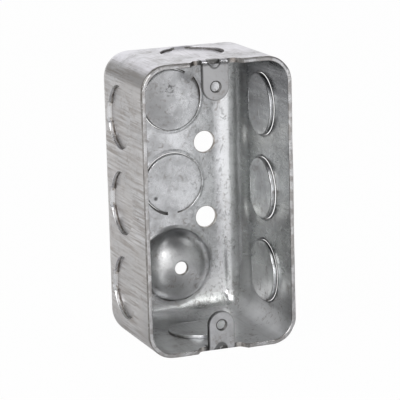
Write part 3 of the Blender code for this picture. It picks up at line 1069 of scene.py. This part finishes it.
class BOX_OT_ears(bpy.types.Operator):
    """Build the two ears that a wiring device is screwed to"""
    bl_idname = "utility_box.ears"
    bl_label = "Ears"

    def execute(self, context):
        sizes = context.scene.utility_box_ears
        sheet = context.scene.utility_box_skin.sheet
        hole_height = (HEIGHT + sizes.hole_pitch) / 2
        for name, placing in ends():
            ear = self.strip(name, sizes, sheet, hole_height)
            carve(ear, self.holes(name, sizes, sheet, hole_height), crossing=True)
            if ear.ray_cast(Vector((0, FRONT, hole_height)), Vector((0, 1, 0)))[0]:
                raise RuntimeError("the screw hole of the " + name + " ear isn't open")
            ear.data.transform(placing)
            finish_piece(ear, sharp=40)
        return {'FINISHED'}

    def strip(self, name, sizes, sheet, hole_height):
        """Outer face of the upper end's bent strip, thickened inward, with worn edges."""
        half = sizes.width / 2
        face = FRONT + sizes.set_back
        bend = sizes.bend
        bend_steps, tip_steps = 12, 24
        rows = [(half, face + bend + 1.5 * sheet, HEIGHT - SUNK)]
        for i in range(bend_steps + 1):
            angle = math.pi / 2 * i / bend_steps
            rows.append((half, face + bend * (1 - math.sin(angle)),
                         HEIGHT - SUNK * (i < 1) - bend * (1 - math.cos(angle))))
        rows.append((half, face, hole_height))
        for i in range(1, tip_steps):
            angle = math.pi / 2 * i / tip_steps
            rows.append((half * math.cos(angle), face, hole_height - half * math.sin(angle)))
        builder = bmesh.new()
        pairs = [[builder.verts.new((-w, y, z)), builder.verts.new((w, y, z))] for w, y, z in rows]
        for (a, b), (c, d) in zip(pairs, pairs[1:]):
            builder.faces.new((a, c, d, b))
        tip = builder.verts.new((0, face, hole_height - half))
        builder.faces.new((pairs[-1][0], tip, pairs[-1][1]))
        ear = new_piece(name + "_ear", builder)
        placeholders(ear)
        thick = ear.modifiers.new("sheet", 'SOLIDIFY')
        thick.thickness = sheet
        thick.offset = -1
        thick.use_even_offset = True
        thick.material_offset_rim = SHEARED
        worn = ear.modifiers.new("worn_edges", 'BEVEL')
        worn.width = sizes.edge
        worn.segments = 3
        worn.limit_method = 'ANGLE'
        worn.angle_limit = math.radians(50)
        worn.material = SHEARED
        settle(ear)
        return ear

    def holes(self, name, sizes, sheet, hole_height):
        """Tapped screw hole with a countersink, and the hole in the bend, both at the upper end."""
        face = FRONT + sizes.set_back
        radius = sizes.hole / 2
        profile = [(0, -PAST), (radius + 0.58 * MM, -PAST), (radius + 0.34 * MM, -0.02 * MM),
                   (radius + 0.06 * MM, 0.22 * MM)]
        profile += thread(radius - 0.12 * MM, radius + 0.12 * MM, 0.28 * MM, sheet - 0.5 * MM)
        profile += [(radius, sheet - 0.1 * MM), (radius + 0.25 * MM, sheet + 0.05 * MM),
                    (radius + 0.3 * MM, sheet + PAST), (0, sheet + PAST)]
        builder = bmesh.new()
        turned(builder, profile, 48,
               frame_at((0, face, hole_height), (0, 1, 0), (0.94, 0, 0.34)))
        screw = cutting_tool("ear_hole", builder)

        ease = sizes.bend_hole / 2
        long = sizes.bend + sheet
        back = sizes.bend_hole_back + (0.9 * MM if name == "lower" else 0.3 * MM)
        builder = bmesh.new()
        turned(builder, [(0, -PAST), (ease, -PAST), (ease, long), (0, long)], 48,
               frame_at((-0.3 * MM, face + back, HEIGHT), (0, 1, -1), (1, 0, 0)))
        return [screw, cutting_tool("bend_hole", builder)]


class BOX_OT_stage(bpy.types.Operator):
    """Build the floor, the lamps, the white room and the camera"""
    bl_idname = "utility_box.stage"
    bl_label = "Studio"

    # Setting of the power, degrees from the front toward +X, degrees above level, distance and size
    lamps = (
        ("key", -40, 45, 1.0, (0.6, 0.6)),
        ("front", -26, 12, 1.1, (0.95, 0.7)),
        ("left", -84, 32, 1.0, (0.9, 0.5)),
        ("spark", -13, 13, 1.0, (0.2, 0.4)),
        ("top", 46, 64, 1.0, (0.3, 0.12)),
        ("rear", 156, 22, 1.35, (1.7, 0.8)),
    )

    def execute(self, context):
        look = context.scene.utility_box_stage
        self.floor(look)
        self.room(context, look)
        for name, *where in self.lamps:
            self.lamp(name + "_lamp", getattr(look, name), *where)
        self.camera(context, look)
        context.scene.view_settings.view_transform = 'Standard'
        return {'FINISHED'}

    def seen(self, start, mirrored):
        """1 for rays from the camera or through a clear surface, and a share for mirrored rays."""
        path = "ShaderNodeLightPath"
        return start.node(path, out="Is Camera Ray").most(
            start.node(path, out="Is Transmission Ray"),
            start.node(path, out="Is Glossy Ray") * mirrored)

    def floor(self, look):
        """Pale floor that shows as white away from the box and keeps the box's shadow."""
        builder = bmesh.new()
        bmesh.ops.create_grid(builder, x_segments=1, y_segments=1, size=6.0)
        floor = new_piece("floor", builder)
        material = bpy.data.materials.new("pale_floor")
        start = blank_tree(material)
        matt = start.node("ShaderNodeBsdfDiffuse", None, {"Color": rgba(look.floor)})
        glow = start.node("ShaderNodeEmission", None, {"Color": rgba((1, 1, 1)), "Strength": 1.0})
        place = start.node("ShaderNodeTexCoord", out="Object")
        # In reflections the floor shows less glow near the box and toward its right, as painted shadow,
        # and two glowing patches at the front left and rear left, as painted light
        near = place.reach().rise(0.07, 0.20)
        right = place.shifted((-0.15, 0.05, 0)).reach().rise(0.14, 0.28)
        front_left_glow = place.shifted((0.045, 0.12, 0)).reach().rise(0.10, 0.03) * 0.55
        rear_left_glow = place.shifted((0.09, -0.10, 0)).reach().rise(0.14, 0.06) * 0.8
        white = (near * (right * 0.42 + 0.33) + 0.25).most(front_left_glow, rear_left_glow)
        share = self.seen(start, white) * 0.98
        both = start.node("ShaderNodeMixShader", None, {0: share, 1: matt, 2: glow})
        start.node("ShaderNodeOutputMaterial", None, {"Surface": both})
        floor.data.materials.append(material)

    def room(self, context, look):
        """World that lights the floor a little, and shows as a white room with one darker side."""
        world = bpy.data.worlds.new("white_room")
        start = blank_tree(world)
        light, white = (start.node("ShaderNodeBackground", None,
                                   {"Color": rgba((1, 1, 1)), "Strength": strength})
                        for strength in (look.room, 1.0))
        toward = start.node("ShaderNodeTexCoord", out="Generated")
        dark_side = toward.along((0.27, -0.56, 0.78)).rise(0.55, 0.95)
        share = self.seen(start, (1.0 - dark_side * 0.85) * look.mirrored)
        both = start.node("ShaderNodeMixShader", None, {0: share, 1: light, 2: white})
        start.node("ShaderNodeOutputWorld", None, {"Surface": both})
        context.scene.world = world

    def lamp(self, name, watts, turn, lift, distance, size):
        """Soft lamp that faces the box."""
        data = bpy.data.lights.new(name, 'AREA')
        data.shape = 'RECTANGLE'
        data.size, data.size_y = size
        data.energy = watts
        turn = math.radians(turn)
        lift = math.radians(lift)
        away = Vector((math.sin(turn) * math.cos(lift), -math.cos(turn) * math.cos(lift),
                       math.sin(lift)))
        lamp = bpy.data.objects.new(name, data)
        lamp.location = MIDDLE + away * distance
        lamp.rotation_euler = (-away).to_track_quat('-Z', 'Y').to_euler()
        lamp.visible_camera = False
        bpy.context.scene.collection.objects.link(lamp)

    def camera(self, context, look):
        """Camera at the photograph's angle, a little left of the box and above it."""
        data = bpy.data.cameras.new("camera")
        data.sensor_width = 36
        data.lens = look.lens / MM
        camera = bpy.data.objects.new("camera", data)
        right = Vector((0.929460, -0.367996, -0.026128))
        ahead = Vector((0.353661, 0.908932, -0.220829))
        turn = Matrix((right, right.cross(ahead), -ahead)).transposed()
        place = Matrix.Translation((-0.271469, -0.702131, 0.219340))
        camera.matrix_world = place @ turn.to_4x4()
        context.scene.collection.objects.link(camera)
        context.scene.camera = camera


class BOX_PT_panel(bpy.types.Panel):
    """Lists the box's operators and settings"""
    bl_idname = "BOX_PT_panel"
    bl_label = "Utility Box"
    bl_space_type = 'VIEW_3D'
    bl_region_type = 'UI'
    bl_category = "Utility Box"

    def draw(self, context):
        for operator in OPERATORS:
            self.layout.operator(operator.bl_idname)
        for name, _ in SETTINGS:
            group = getattr(context.scene, name)
            column = self.layout.column(align=True)
            for setting in group.__annotations__:
                column.prop(group, setting)


OPERATORS = (BOX_OT_skin, BOX_OT_knockouts, BOX_OT_boss, BOX_OT_ears, BOX_OT_stage)
SETTINGS = (
    ("utility_box_skin", SkinSizes),
    ("utility_box_knockouts", KnockoutSizes),
    ("utility_box_boss", BossSizes),
    ("utility_box_ears", EarSizes),
    ("utility_box_steel", SteelLook),
    ("utility_box_stage", StageLook),
)


def register():
    for name, group in SETTINGS:
        bpy.utils.register_class(group)
        setattr(bpy.types.Scene, name, PointerProperty(type=group))
    for kind in (*OPERATORS, BOX_PT_panel):
        bpy.utils.register_class(kind)


def unregister():
    for kind in (BOX_PT_panel, *reversed(OPERATORS)):
        bpy.utils.unregister_class(kind)
    for name, group in reversed(SETTINGS):
        delattr(bpy.types.Scene, name)
        bpy.utils.unregister_class(group)


def main():
    register()
    bpy.ops.utility_box.skin()
    bpy.ops.utility_box.knockouts()
    bpy.ops.utility_box.boss()
    bpy.ops.utility_box.ears()
    bpy.ops.utility_box.stage()


if __name__ == "__main__":
    main()
